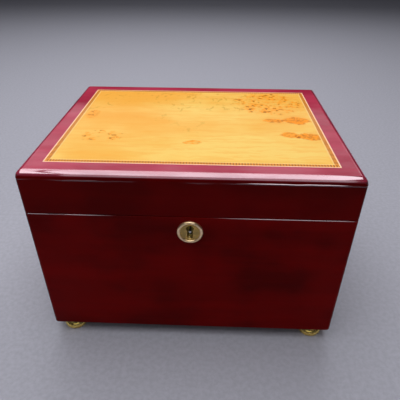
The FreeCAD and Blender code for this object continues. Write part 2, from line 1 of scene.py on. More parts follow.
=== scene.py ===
"""Finishes, lining and studio for a lacquered keepsake box.

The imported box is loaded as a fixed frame, in metres, with +Z up and its front towards -Y. The
operators below give its pieces their finishes, model the lining, pads, tray and screws, and set up
the studio.
"""
import json
import math

import bmesh
import bpy
from bpy.props import FloatProperty, FloatVectorProperty, PointerProperty
from mathutils import Matrix, Vector


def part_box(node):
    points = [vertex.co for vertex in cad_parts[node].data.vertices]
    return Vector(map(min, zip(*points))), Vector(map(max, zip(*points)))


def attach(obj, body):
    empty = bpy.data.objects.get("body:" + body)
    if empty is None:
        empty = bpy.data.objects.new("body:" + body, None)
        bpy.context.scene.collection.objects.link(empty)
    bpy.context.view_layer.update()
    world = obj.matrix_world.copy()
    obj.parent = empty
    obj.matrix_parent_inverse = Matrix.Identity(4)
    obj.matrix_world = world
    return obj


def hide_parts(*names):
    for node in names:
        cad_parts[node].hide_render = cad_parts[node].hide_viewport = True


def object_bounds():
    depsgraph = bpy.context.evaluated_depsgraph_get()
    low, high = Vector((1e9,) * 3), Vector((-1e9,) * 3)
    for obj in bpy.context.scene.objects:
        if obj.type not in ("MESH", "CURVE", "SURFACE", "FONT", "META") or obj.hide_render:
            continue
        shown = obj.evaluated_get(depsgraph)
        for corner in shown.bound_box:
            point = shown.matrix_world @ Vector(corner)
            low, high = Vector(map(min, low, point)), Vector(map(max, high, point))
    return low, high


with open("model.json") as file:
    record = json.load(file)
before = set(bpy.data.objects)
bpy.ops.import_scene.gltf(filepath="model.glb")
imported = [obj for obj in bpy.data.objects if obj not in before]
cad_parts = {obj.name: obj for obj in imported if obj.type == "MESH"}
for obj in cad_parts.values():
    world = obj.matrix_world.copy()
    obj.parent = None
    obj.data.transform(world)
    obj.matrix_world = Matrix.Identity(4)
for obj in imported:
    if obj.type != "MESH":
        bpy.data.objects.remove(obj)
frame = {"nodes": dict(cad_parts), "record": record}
CAD_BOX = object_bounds()

bl_info = {
    "name": "Keepsake Box",
    "version": (1, 0, 0),
    "blender": (4, 5, 0),
    "location": "View3D > Sidebar > Keepsake",
    "description": "Finishes, lining and studio for a lacquered keepsake box",
    "category": "Object",
}

MM = 0.001
SIDES = ("front", "right", "back", "left")

# Places that the frame gives
BOX_HIGH = CAD_BOX[1]
TOP_Z = BOX_HIGH.z
FRONT_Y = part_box("front_wall")[0].y
RIM_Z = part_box("front_wall")[1].z
HALF_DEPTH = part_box("back_wall")[1].y
BAND_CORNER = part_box("inlay_banding")[1]
PLATE_LOW, PLATE_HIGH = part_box("escutcheon")
PLATE_RADIUS = (PLATE_HIGH.x - PLATE_LOW.x) / 2
KEY_Z = (PLATE_LOW.z + PLATE_HIGH.z) / 2
COMPARTMENTS = {
    opening["name"]: opening["box_m"]
    for opening in frame["record"]["physics"]["openings"]
    if opening["name"].startswith(("tray_front_", "tray_back_"))
}


def colour(name, description, default):
    """A colour that a user may change."""
    return FloatVectorProperty(
        name=name, description=description, default=(*default, 1.0),
        size=4, subtype="COLOR", min=0, max=1)


def length(name, description, default):
    """A length that a user may change."""
    return FloatProperty(
        name=name, description=description, default=default, min=0, unit="LENGTH", precision=5)


def amount(name, description, default, most=1.0):
    """A plain number that a user may change."""
    return FloatProperty(name=name, description=description, default=default, min=0, max=most)


class LacquerSettings(bpy.types.PropertyGroup):
    """Stained wood under clear gloss lacquer."""

    wall_red: colour("Wall red", "Light part of the walls' grain", (0.180, 0.0012, 0.0010))
    wall_dark: colour("Wall dark", "Dark part of the walls' grain", (0.085, 0.0007, 0.0006))
    # The lid's top border colours are lighter than the walls' on the same lacquer: painted light and sheen
    # from above.
    lit_top_red: colour("Top red", "Light part of the grain on the lid's border", (0.47, 0.042, 0.088))
    lit_top_dark: colour("Top dark", "Dark part of the grain on the lid's border", (0.33, 0.016, 0.045))
    gloss_roughness: amount("Gloss roughness", "Roughness of the lacquer", 0.05)
    ripple: length("Ripple", "Height of the lacquer's slow waves", 0.00004)
    bead: length("Bead", "Height of the thin bead of lacquer under the lid's round edge", 0.0008)
    mirror_ior: amount("Mirror", "Index of the thick lacquer on the lid's round edge", 3.9, 5)
    mirror_tint: colour("Mirror tint", "Tint of what the thick lacquer mirrors", (1.0, 0.87, 0.95))
    border_gloss: amount("Border gloss", "How much of that mirror the lid's flat border has", 0.14)


class InlaySettings(bpy.types.PropertyGroup):
    """Burl panel, stringing and chequer banding."""

    gold: colour("Burl gold", "Ground of the burl", (0.88, 0.48, 0.085))
    pale: colour("Burl pale", "Light clouds in the burl", (0.90, 0.60, 0.150))
    amber: colour("Burl amber", "Warm clouds in the burl", (0.88, 0.39, 0.050))
    orange: colour("Burl orange", "Ground round the burl's eyes", (0.95, 0.30, 0.001))
    eye: colour("Burl eye", "The burl's dark eyes", (0.22, 0.045, 0.002))
    curl: colour("Burl curl", "Short curls in the burl's figure", (0.58, 0.27, 0.025))
    string: colour("Outer string", "Pale stringing next to the border", (0.95, 0.64, 0.46))
    inner_string: colour("Inner string", "Golden stringing next to the burl", (0.92, 0.62, 0.22))
    chip_dark: colour("Dark chip", "Dark chips of the banding", (0.130, 0.008, 0.001))
    chip_light: colour("Light chip", "Light chips of the banding", (0.98, 0.38, 0.050))
    chip_pitch: length("Chip pitch", "From one dark chip to the next", 0.0024)


class BrassSettings(bpy.types.PropertyGroup):
    """Polished and brushed brass, and the lock's steel."""

    bright: colour("Bright", "Polished brass", (1.0, 0.75, 0.22))
    shade: colour("Shade", "Duller patches on the brass", (0.76, 0.49, 0.13))
    rim: colour("Rim", "Rounded rim of the keyhole plate", (1.0, 0.75, 0.47))
    # The disc's dark colour is in part painted shade, beside its satin finish.
    disc: colour("Disc", "Satin disc of the keyhole plate", (0.42, 0.29, 0.10))
    steel: colour("Steel", "Bolt, spring and pin of the lock", (0.50, 0.49, 0.47))
    rim_width: length("Rim width", "Width of the keyhole plate's rounded rim", 0.0028)
    keyhole_radius: length("Keyhole radius", "Radius of the keyhole's round end", 0.0031)
    keyhole_rise: length("Keyhole rise", "Height of the round end over the pin", 0.0034)
    slot_half: length("Slot half", "Half the width of the keyhole's slot", 0.0024)
    slot_drop: length("Slot drop", "Depth of the slot's round end under the pin", 0.0042)
    sleeve_wall: length("Sleeve wall", "Thickness of the sleeve that lines the keyhole", 0.0006)
    sleeve_lip: length("Sleeve lip", "How far the sleeve's inner end closes in", 0.00004)
    sleeve_proud: length("Sleeve proud", "How far the sleeve stands out of the wall", 0.00115)
    sleeve_depth: length("Sleeve depth", "Length of the sleeve", 0.0032)
    screw_slot: length("Screw slot", "Width of a screw's slot", 0.0005)


class LiningSettings(bpy.types.PropertyGroup):
    """Velvet on the boards and pads."""

    velvet: colour("Velvet", "Pile of the velvet", (0.016, 0.060, 0.034))
    velvet_dark: colour("Velvet dark", "Pile brushed the other way", (0.008, 0.034, 0.019))
    sheen: colour("Sheen", "Sheen on the pile", (0.35, 0.62, 0.48))
    board_round: length("Board round", "Rounding of a covered board's edges", 0.0009)
    lock_room: length("Lock room", "Gap round the lock's back plate in the front board", 0.0003)
    wall_room: length("Wall room", "How far that gap's cut passes the board", 0.01)
    pad_inset: length("Pad inset", "How much smaller a pad is cut than its place", 0.0016)
    pad_swell: length("Pad swell", "How far the filling may push the cover out", 0.0028)
    pad_cell: length("Pad cell", "Spacing of the simulated cover's points", 0.006)
    card: length("Card", "Thickness of the soft cards in the tray", 0.0016)


class TraySettings(bpy.types.PropertyGroup):
    """Satin stained tray."""

    wood: colour("Wood", "Light part of the tray's grain", (0.23, 0.035, 0.016))
    wood_dark: colour("Wood dark", "Dark part of the tray's grain", (0.10, 0.012, 0.007))
    edge_round: length("Edge round", "Rounding of the tray's edges", 0.0007)
    notch_radius: length("Notch radius", "Radius of the finger notches", 0.014)
    notch_depth: length("Notch depth", "Depth of the finger notches", 0.008)


class StudioSettings(bpy.types.PropertyGroup):
    """Floor, lights and camera."""

    floor: colour("Floor", "Plain floor", (0.44, 0.44, 0.51))
    surround: colour("Surround", "Dim room round the floor", (0.034, 0.034, 0.039))
    overhead: amount("Overhead level", "Radiance of the softboxes overhead", 2.25, 20)
    back_panel: amount("Back level", "Radiance of the panel behind", 1.1, 20)
    front_panel: amount("Front level", "Radiance of the panel high in front", 0.6, 20)
    camera_place: FloatVectorProperty(
        name="Camera place", description="Where the camera stands", subtype="TRANSLATION", unit="LENGTH",
        default=(0.017376, -0.380440, 0.346192))
    camera_turn: FloatVectorProperty(
        name="Camera turn", description="How the camera is turned", subtype="EULER", unit="ROTATION",
        default=(math.radians(56.6017), math.radians(-0.2509), math.radians(2.0740)))
    lens: FloatProperty(
        name="Lens", description="Focal length of the camera", default=36.1433, min=1,
        subtype="DISTANCE_CAMERA")


class Varies:
    """A number, vector or colour that varies over a surface: one output of a material's nodes."""

    def __init__(self, tree, socket):
        self.tree = tree
        self.socket = socket

    def node(self, kind, settings, inputs, output=0):
        """Adds a node, sets it, fills or links its inputs and gives one of its outputs."""
        made = self.tree.nodes.new(kind)
        for name, value in settings.items():
            setattr(made, name, value)
        for name, value in inputs.items():
            feed(made.inputs[name], value)
        return Varies(self.tree, made.outputs[output])

    def beside(self, output):
        """Another output of the same node."""
        return Varies(self.tree, self.socket.node.outputs[output])

    def maths(self, operation, *terms):
        """A Math node on some terms."""
        return self.node("ShaderNodeMath", {"operation": operation}, dict(enumerate(terms)))

    def __add__(self, other):
        return self.maths("ADD", self, other)

    def __radd__(self, other):
        return self.maths("ADD", other, self)

    def __sub__(self, other):
        return self.maths("SUBTRACT", self, other)

    def __rsub__(self, other):
        return self.maths("SUBTRACT", other, self)

    def __mul__(self, other):
        return self.maths("MULTIPLY", self, other)

    def __rmul__(self, other):
        return self.maths("MULTIPLY", other, self)

    def __truediv__(self, other):
        return self.maths("DIVIDE", self, other)

    def __abs__(self):
        return self.maths("ABSOLUTE", self)


def feed(socket, value):
    """Links a varying value to an input, or sets a plain one on it."""
    if isinstance(value, Varies):
        value.tree.links.new(value.socket, socket)
    else:
        socket.default_value = value


def new_finish(name, **constants):
    """A material with its shader's plain values set, that shader, and Object coordinates."""
    finish = bpy.data.materials.new(name)
    finish.use_nodes = True
    tree = finish.node_tree
    shader = tree.nodes["Principled BSDF"]
    for socket, value in constants.items():
        shader.inputs[socket.replace("_", " ").replace("Ior", "IOR")].default_value = value
    where = tree.nodes.new("ShaderNodeTexCoord")
    return finish, shader, Varies(tree, where.outputs["Object"])


def step(value, low, high):
    """Rises smoothly from 0 to 1 while the value goes from low to high."""
    return value.node("ShaderNodeMapRange", {"interpolation_type": "SMOOTHSTEP"},
                      {"Value": value, "From Min": low, "From Max": high})


def mix(mask, first, second):
    """The first colour where the mask is 0 and the second where it is 1."""
    return mask.node("ShaderNodeMix", {"data_type": "RGBA"}, {0: mask, 6: first, 7: second}, 2)


def noise(place, lumps, detail=2.0, roughness=0.5, output=0):
    """Cloudy noise with a given number of lumps to the metre."""
    inputs = {"Vector": place, "Scale": lumps, "Detail": detail, "Roughness": roughness}
    return place.node("ShaderNodeTexNoise", {}, inputs, output)


def patches(place, lumps, detail, low, high, roughness=0.5):
    """Noise made into patches: 0 where it is under the low value and 1 where it is over the high one."""
    return step(noise(place, lumps, detail, roughness), low, high)


def stretched(place, scale):
    """Coordinates that make a pattern longer where the scale is small."""
    return place.node("ShaderNodeMapping", {}, {"Vector": place, "Scale": scale})


def warped(place, lumps, reach):
    """Coordinates pushed about by noise, by up to about half the reach."""
    push = noise(place, lumps, 2.0, 0.5, "Color")
    centred = push.node("ShaderNodeVectorMath", {"operation": "SUBTRACT"}, {0: push, 1: (0.5, 0.5, 0.5)})
    return centred.node("ShaderNodeVectorMath", {"operation": "MULTIPLY_ADD"},
                        {0: centred, 1: (reach, reach, reach), 2: place})


def axes(place):
    """The x, y and z of a place."""
    x = place.node("ShaderNodeSeparateXYZ", {}, {"Vector": place})
    return x, x.beside("Y"), x.beside("Z")


def bump(height, distance):
    """A normal tilted by a height whose unit stands for a distance."""
    return height.node("ShaderNodeBump", {}, {"Height": height, "Distance": distance}, "Normal")


# Lacquer: where it mirrors, each fading between two distances in from the outline or down from the top
EDGE_STARTS = (0.25 * MM, 1.0 * MM)
EDGE_ENDS = (5.2 * MM, 7.0 * MM)
EDGE_WANDERS = 1.0 * MM
EDGE_FOOT = (4.4 * MM, 5.2 * MM)
BORDER_STARTS = (5.0 * MM, 6.5 * MM)
BORDER_FOOT = (0.1 * MM, 0.3 * MM)
RIM_STARTS = (0.4 * MM, 0.8 * MM)
RIM_LINE = 0.3 * MM
RIM_FADES = (0.2 * MM, 0.4 * MM)

# Lacquer: the bead under the lid's round edge
BEAD_DROP = 7.7 * MM
BEAD_WANDERS = 2.0 * MM
BEAD_HALF = 0.8 * MM
BEAD_FADES = (0.5 * MM, BEAD_HALF)
BEAD_FAINT = 0.4

# Lacquer: stretches along X where these lines are full, and where the round edge is softest
BEAD_FROM = (20 * MM, 70 * MM)
BEAD_TO = (115 * MM, 135 * MM)
RIM_LEFT_TO = (-95 * MM, -60 * MM)
RIM_RIGHT_FROM = (15 * MM, 60 * MM)
SOFT_X = 5 * MM
SOFT_FADES = (80 * MM, 125 * MM)
SOFT_SHARE = 0.24
STREAK_SHARE = 0.24

# Lacquer: heights where the colour changes: the painted shade on the lid's walls and the painted light and
# sheen on the lid's top
LID_SHADE_STARTS = (RIM_Z, RIM_Z + 1.0 * MM)
LIT_TOP_STARTS = (TOP_Z - 4.5 * MM, TOP_Z - 2.0 * MM)

# Lacquer: lumps to the metre of its patterns
GRAIN_LUMPS = 70
CLOUD_LUMPS = 17
WAVE_LUMPS = 22
BREAK_LUMPS = 14
STREAK_LUMPS = 420
HAZE_LUMPS = 60
RIPPLE_LUMPS = 75
MIST_LUMPS = 160
ALL_HEIGHTS = (1, 1, 0)


def bead_distance(place):
    """How far a place lies above or below the thin bead of lacquer under the lid's round edge."""
    wave = noise(stretched(place, ALL_HEIGHTS), WAVE_LUMPS)
    return abs(TOP_Z - axes(place)[2] + wave * BEAD_WANDERS - BEAD_DROP)


def bead_strength(place):
    """How strongly that bead shows: broken, and full on one stretch to the right."""
    x = axes(place)[0]
    broken = patches(stretched(place, ALL_HEIGHTS), BREAK_LUMPS, 1, 0.40, 0.54)
    full = step(x, *BEAD_FROM) * (1 - step(x, *BEAD_TO))
    return full.maths("MAXIMUM", full, broken * BEAD_FAINT)


def edge_gloss(place, look):
    """How far the lacquer mirrors.

    It mirrors most on the lid's round edge, on the bead under it and on the body's rim, and a little on
    the lid's flat border.
    """
    x, y, z = axes(place)
    from_side = BOX_HIGH.x - abs(x)
    inwards = from_side.maths("MINIMUM", from_side, HALF_DEPTH - abs(y))
    below = TOP_Z - z
    wave = noise(stretched(place, ALL_HEIGHTS), WAVE_LUMPS)
    streak = patches(stretched(place, (0.06, 0.06, 1)), STREAK_LUMPS, 3, 0.36, 0.62)
    soft = 1 - step(abs(x - SOFT_X), *SOFT_FADES)
    strength = (1 - STREAK_SHARE + STREAK_SHARE * streak) * (1 - SOFT_SHARE * soft)
    across = step(inwards, *EDGE_STARTS) * (1 - step(inwards + wave * EDGE_WANDERS, *EDGE_ENDS))
    round_edge = across * (1 - step(below, *EDGE_FOOT)) * strength
    border = step(inwards, *BORDER_STARTS) * (1 - step(below, *BORDER_FOOT))
    haze = look.border_gloss * (0.5 + patches(stretched(place, (0.35, 1, 1)), HAZE_LUMPS, 4, 0.35, 0.7, 0.6))
    bead = (1 - step(bead_distance(place), *BEAD_FADES)) * bead_strength(place)
    rim = (1 - step(inwards, *RIM_STARTS)) * (1 - step(abs(z - RIM_Z + RIM_LINE), *RIM_FADES))
    rim_stretches = 1 - step(x, *RIM_LEFT_TO) + step(x, *RIM_RIGHT_FROM)
    return round_edge + border * haze + bead + rim * rim_stretches


def lacquer(name, look, run):
    """Dark red stained wood under gloss lacquer, with its grain along X or Y, lighter on the lid's top as
    painted light and sheen, and darker on the lid's walls as painted shade.
    """
    finish, shader, place = new_finish(name, Specular_Ior_Level=0.035)
    height = axes(place)[2]
    squeeze = {"X": (0.07, 1, 1), "Y": (1, 0.07, 1)}[run]
    grain = patches(stretched(place, squeeze), GRAIN_LUMPS, 6, 0.36, 0.68, 0.6)
    cloud = patches(stretched(place, (0.8, 0.8, 1.2)), CLOUD_LUMPS, 3, 0.36, 0.62)
    # Painted shade: the lid's walls are darkened, standing in for less light bounced up from the floor.
    depth = (grain * 0.35 + cloud * 0.65) * (1 - 0.5 * step(height, *LID_SHADE_STARTS))
    wall = mix(depth, tuple(look.wall_dark), tuple(look.wall_red))
    border = mix(grain * 0.5 + cloud * 0.5, tuple(look.lit_top_dark), tuple(look.lit_top_red))
    # Painted light: the lid's top takes the lighter border colours.
    wood = mix(step(height, *LIT_TOP_STARTS), wall, border)
    gloss = look.gloss_roughness + noise(place, MIST_LUMPS, 3) * 0.03
    bead = (1 - step(bead_distance(place), 0, BEAD_HALF)) * bead_strength(place)
    relief = bump(noise(place, RIPPLE_LUMPS, 1) * look.ripple + bead * look.bead, 1.0)
    mirror = place.node("ShaderNodeBsdfPrincipled", {}, {
        "IOR": look.mirror_ior, "Specular Tint": tuple(look.mirror_tint),
        "Base Color": wood, "Roughness": gloss, "Normal": relief})
    feed(shader.inputs["Base Color"], wood)
    feed(shader.inputs["Roughness"], gloss)
    feed(shader.inputs["Normal"], relief)
    plain = Varies(place.tree, shader.outputs["BSDF"])
    both = place.node("ShaderNodeMixShader", {}, {"Fac": edge_gloss(place, look), 1: plain, 2: mirror})
    feed(place.tree.nodes["Material Output"].inputs["Surface"], both)
    return finish


# Burl: clusters of eyes, as centre x and y and half width and depth in millimetres, and from 0 to 1 how
# orange they are, how many eyes they have and how hollow they are
BURL_CLUSTERS = (
    (78, 55, 42, 36, 0.20, 1.0, 0.0),
    (101, 6, 15, 10, 1.0, 0.6, 0.6),
    (79, 5, 13, 6, 0.9, 0.6, 0.0),
    (90, -30, 9, 7, 0.85, 0.9, 0.8),
    (108, -33, 15, 8, 0.95, 0.7, 0.5),
    (-1, -50, 9, 5, 0.4, 1.0, 0.0),
    (-86, -38, 20, 14, 0.0, 1.0, 0.9),
    (-108, 14, 8, 12, 0.25, 0.6, 0.0),
)
CLUSTER_FADES = (0.45, 1.1)
HOLLOW_FADES = (0.1, 0.5)

# Burl: lumps to the metre of its patterns, and how far its coordinates are pushed about
PALE_LUMPS = 18
AMBER_LUMPS = 12
FIGURE_LUMPS = 200
STROKE_LUMPS = 190
STROKE_PATCH_LUMPS = 24
TORN_LUMPS = 170
EYE_LUMPS = 215.0
VEIN_LUMPS = 330
BURL_MIST_LUMPS = 140
BURL_RIPPLE = 0.01 * MM
LOOSE_WARP = (60, 6 * MM)
CURLED_WARP = (34, 26 * MM)
RAGGED_WARP = (260, 8 * MM)


def burl_ground(place, look):
    """The burl's clouds, painted paler towards the front and right as a painted sheen, its faint figure
    along X and its short curls, and the pale clouds by themselves.
    """
    loose = warped(place, *LOOSE_WARP)
    x, y, _ = axes(loose)
    wide = stretched(loose, (0.6, 1, 1))
    pale = patches(wide, PALE_LUMPS, 3, 0.36, 0.62)
    # Amber clouds thin out towards the front and right, so the burl is paler there: a painted sheen over the
    # random clouds.
    amber_and_front_sheen = step(noise(wide, AMBER_LUMPS, 3) + 1.3 * y - 0.8 * x, 0.40, 0.70)
    figure = patches(stretched(loose, (0.12, 1, 1)), FIGURE_LUMPS, 4, 0.46, 0.62, 0.65)
    ground = mix(pale, tuple(look.gold), tuple(look.pale))
    ground = mix(amber_and_front_sheen * 0.85, ground, tuple(look.amber))
    ground = mix(figure * 0.38, ground, tuple(look.amber))
    curled = stretched(warped(place, *CURLED_WARP), (1, 0.4, 1))
    stroke = patches(curled, STROKE_LUMPS, 3, 0.55, 0.68, 0.6)
    stroked = step(noise(place, STROKE_PATCH_LUMPS, 1) + 2.2 * y - 1.1 * abs(x), 0.50, 0.62)
    return mix(stroke * stroked * 0.55, ground, tuple(look.curl)), pale


def burl_clusters(place):
    """Where the burl glows orange, and where it has eyes."""
    x, y, _ = axes(warped(place, *LOOSE_WARP))
    torn = noise(place, TORN_LUMPS, 4, 0.65) * 1.6 - 0.8
    glow = 0.0
    eyed = 0.0
    for centre_x, centre_y, half_x, half_y, orange, eyes, hollow in BURL_CLUSTERS:
        across = (x - centre_x * MM) / (half_x * MM)
        along = (y - centre_y * MM) / (half_y * MM)
        reach = across * across + along * along + torn
        inside = 1 - step(reach, *CLUSTER_FADES)
        glow = inside * orange + glow
        eyed = inside * eyes * (1 - hollow + hollow * step(reach, *HOLLOW_FADES)) + eyed
    return glow, eyed


def burl(name, look):
    """Golden burl veneer: soft clouds, faint figure, short curls and clusters of dark eyes."""
    finish, shader, place = new_finish(name, Specular_Ior_Level=0.03)
    ground, pale = burl_ground(place, look)
    glow, eyed = burl_clusters(place)
    ragged = stretched(warped(place, *RAGGED_WARP), (0.7, 1, 1))
    cells = ragged.node("ShaderNodeTexVoronoi", {"feature": "F1"},
                        {"Vector": ragged, "Scale": EYE_LUMPS}, "Distance")
    chosen = step(axes(cells.beside("Color"))[0], 0.22, 0.27)
    halo = (1 - step(cells, 0.40, 0.74)) * chosen
    spot = (1 - step(cells, 0.22, 0.36)) * chosen
    vein = patches(stretched(ragged, (0.6, 1, 1)), VEIN_LUMPS, 3, 0.48, 0.60, 0.6)
    ground = mix(glow * (0.75 + 0.25 * pale), ground, tuple(look.orange))
    ground = mix(vein * glow * 0.5, ground, tuple(look.eye))
    ground = mix(halo * eyed * 0.7, ground, tuple(look.orange))
    ground = mix(spot * eyed * 0.85, ground, tuple(look.eye))
    feed(shader.inputs["Base Color"], ground)
    feed(shader.inputs["Roughness"], 0.07 + noise(place, BURL_MIST_LUMPS, 3) * 0.03)
    feed(shader.inputs["Normal"], bump(noise(place, RIPPLE_LUMPS, 1), BURL_RIPPLE))
    return finish


# Stringing and banding
INLAY_SHINE = {"Roughness": 0.08, "Specular_Ior_Level": 0.05}
STRING_LUMPS = 420
CHIP_LUMPS = 500
CHIP_FADES = (0.20, 0.25)
BAND_EDGE_FADES = (0.15 * MM, 0.3 * MM)
MITRE_FADES = (-0.05 * MM, 0.05 * MM)


def stringing(name, look, tone):
    """A thin pale line with a little grain."""
    finish, shader, place = new_finish(name, **INLAY_SHINE)
    grain = patches(place, STRING_LUMPS, 3, 0.35, 0.7)
    feed(shader.inputs["Base Color"], mix(grain * 0.35, tuple(tone), tuple(look.amber)))
    return finish


def banding(name, look):
    """A row of dark chips on a light ground that turns the corners with its strips."""
    finish, shader, place = new_finish(name, **INLAY_SHINE)
    x, y, _ = axes(place)
    from_side = BAND_CORNER.x - abs(x)
    from_end = BAND_CORNER.y - abs(y)
    on_side = step(from_end - from_side, *MITRE_FADES)
    turns = (on_side * y + (1 - on_side) * x) / look.chip_pitch
    beat = turns.maths("FRACT", turns)
    chip = 1 - step(abs(beat - 0.5), *CHIP_FADES)
    inner = step(from_side.maths("MINIMUM", from_side, from_end), *BAND_EDGE_FADES)
    grain = patches(place, CHIP_LUMPS, 2, 0.4, 0.8)
    dark = mix(grain * 0.25, tuple(look.chip_dark), tuple(look.eye))
    feed(shader.inputs["Base Color"], mix(chip * inner, tuple(look.chip_light), dark))
    return finish


# Metals: lumps to the metre of their patterns, and the heights of their marks
BRASS_DULL_LUMPS = 180
BRASS_MARK_LUMPS = 900
BRASS_MARK = 0.004 * MM
PLATE_DULL_LUMPS = 260
PLATE_MARK_LUMPS = 600
PLATE_MARK = 0.012 * MM
PLATE_RIM_FADES = (-0.2 * MM, 0.3 * MM)
BRUSH_LUMPS = 2200
BRUSH_WORN_LUMPS = 120
BRUSH_MARK = 0.01 * MM
BRASS_ROUGHNESS = 0.2
STEEL_ROUGHNESS = 0.25


def polished_brass(name, look):
    """Bright brass with faint dull patches."""
    finish, shader, place = new_finish(name, Metallic=1.0)
    dull = patches(place, BRASS_DULL_LUMPS, 4, 0.42, 0.72, 0.6)
    feed(shader.inputs["Base Color"], mix(dull, tuple(look.bright), tuple(look.shade)))
    feed(shader.inputs["Roughness"], 0.2 + 0.16 * dull)
    feed(shader.inputs["Normal"], bump(noise(place, BRASS_MARK_LUMPS), BRASS_MARK))
    return finish


def plate_brass(name, look):
    """The keyhole plate: a polished rim about a satin disc, the disc painted darker in part as painted
    shade.
    """
    finish, shader, place = new_finish(name, Metallic=1.0)
    x, _, z = axes(place)
    rise = z - KEY_Z
    square = x * x + rise * rise
    from_disc = square.maths("SQRT", square) - (PLATE_RADIUS - look.rim_width)
    on_rim = step(from_disc, *PLATE_RIM_FADES)
    dull = patches(place, PLATE_DULL_LUMPS, 4, 0.4, 0.7, 0.6)
    rim = mix(dull * 0.4, tuple(look.rim), tuple(look.shade))
    disc = mix(dull * 0.7, tuple(look.disc), tuple(look.shade))
    feed(shader.inputs["Base Color"], mix(on_rim, disc, rim))
    feed(shader.inputs["Roughness"], 0.42 - 0.08 * on_rim + 0.08 * dull)
    feed(shader.inputs["Normal"], bump(noise(place, PLATE_MARK_LUMPS), PLATE_MARK))
    return finish


def brushed_metal(name, tone, shade, roughness):
    """Brass or steel brushed along X."""
    finish, shader, place = new_finish(name, Metallic=1.0)
    brush = noise(stretched(place, (0.05, 1, 1)), BRUSH_LUMPS, 3, 0.6)
    worn = patches(place, BRUSH_WORN_LUMPS, 4, 0.4, 0.7, 0.6)
    feed(shader.inputs["Base Color"], mix(worn * 0.6, tuple(tone), tuple(shade)))
    feed(shader.inputs["Roughness"], roughness + 0.14 * brush)
    feed(shader.inputs["Normal"], bump(brush, BRUSH_MARK))
    return finish


# Velvet and tray wood: lumps to the metre of their patterns, and the heights of pile and grain
PILE_LUMPS = 2600
PILE_HEIGHT = 0.25 * MM
BRUSHED_LUMPS = 26
BRUSHED_WARP = (30, 20 * MM)
TRAY_GRAIN_LUMPS = 260
TRAY_GRAIN_WARP = (25, 5 * MM)
TRAY_GRAIN_HEIGHT = 0.06 * MM
TRAY_CLOUD_LUMPS = 18


def velvet(name, look):
    """Short pile velvet with brushed patches and a soft sheen."""
    finish, shader, place = new_finish(
        name, Roughness=0.95, Specular_Ior_Level=0.1, Sheen_Weight=0.55, Sheen_Roughness=0.35,
        Sheen_Tint=tuple(look.sheen))
    brushed = patches(warped(place, *BRUSHED_WARP), BRUSHED_LUMPS, 3, 0.38, 0.64)
    pile = noise(place, PILE_LUMPS)
    shade = brushed * 0.7 + 0.3 * pile
    feed(shader.inputs["Base Color"], mix(shade, tuple(look.velvet_dark), tuple(look.velvet)))
    feed(shader.inputs["Normal"], bump(pile, PILE_HEIGHT))
    return finish


def satin_wood(name, look, run):
    """Stained tray wood with open grain along X or Y under a satin finish."""
    finish, shader, place = new_finish(name, Specular_Ior_Level=0.4)
    squeeze = {"X": (0.05, 1, 1), "Y": (1, 0.05, 1)}[run]
    along = stretched(warped(place, *TRAY_GRAIN_WARP), squeeze)
    grain = patches(along, TRAY_GRAIN_LUMPS, 6, 0.36, 0.66, 0.65)
    cloud = patches(place, TRAY_CLOUD_LUMPS, 2, 0.35, 0.7)
    wood = mix(grain * 0.7 + cloud * 0.3, tuple(look.wood_dark), tuple(look.wood))
    feed(shader.inputs["Base Color"], wood)
    feed(shader.inputs["Roughness"], 0.34 + 0.14 * grain)
    feed(shader.inputs["Normal"], bump(grain, TRAY_GRAIN_HEIGHT))
    return finish


# Modelling: how near points count as in one place, and how edges are rounded and shaded
SAME_PLACE = 0.001 * MM
SAME_LEVEL = 0.1 * MM
ROUNDED_FROM = math.radians(40)
SMOOTH_UP_TO = math.radians(45)

# Soft pads: pressure and stiffness of the cover, and how many frames it is simulated
COVER_PRESSURE = 4.0
COVER_STIFFNESS = 25.0
COVER_FRAMES = 20

# Screws: rim, taper and tip along the screw, how much narrower the shank and the tip are, the slot's
# depth, the rounding, and the degrees by which the slots turn from screw to screw
SCREW_SIDES = 32
SCREW_RIM = 0.12 * MM
SCREW_TAPER = 0.78 * MM
SCREW_TIP = 1.6 * MM
SHANK_SHARE = 0.53
TIP_SHARE = 0.05
SLOT_DEPTH = 0.5 * MM
SLOT_CLEAR = 1.0 * MM
SCREW_ROUND = 0.06 * MM
FIRST_SLANT = 20
NEXT_SLANT = 37

# Keyhole sleeve: how far its bore passes it, how the bore opens to the front, and its rounding
KEYHOLE_SIDES = 48
BORE_CLEAR = 1.0 * MM
BORE_FLARE = (1.25, 1, 1.12)
SLEEVE_ROUND = 0.1 * MM

# Sides of the round bar that cuts a finger notch
NOTCH_SIDES = 96


def paint(nodes, finish):
    """Gives CAD nodes a finish through their material slots."""
    for node in nodes:
        for slot in frame["nodes"][node].material_slots:
            slot.material = finish


def nodes_named(*starts):
    """The names of the nodes that start with one of these."""
    return sorted(name for name in frame["nodes"] if name.startswith(starts))


def alone(piece):
    """Selects one piece and nothing else."""
    bpy.ops.object.select_all(action="DESELECT")
    piece.select_set(True)
    bpy.context.view_layer.objects.active = piece


def add_block(name, low, high):
    """A block between two corners, with its place in its mesh."""
    bpy.ops.object.select_all(action="DESELECT")
    low = Vector(low)
    high = Vector(high)
    bpy.ops.mesh.primitive_cube_add(size=1, location=(low + high) / 2)
    piece = bpy.context.object
    piece.name = name
    bpy.ops.transform.resize(value=high - low)
    bpy.ops.object.transform_apply(location=True, rotation=True, scale=True)
    return piece


def select_points(test):
    """In edit mode, selects the points whose place passes a test."""
    mesh = bmesh.from_edit_mesh(bpy.context.object.data)
    bpy.ops.mesh.select_all(action="DESELECT")
    bpy.ops.mesh.select_mode(type="VERT")
    for point in mesh.verts:
        point.select_set(test(point.co))
    mesh.select_flush_mode()
    bmesh.update_edit_mesh(bpy.context.object.data)


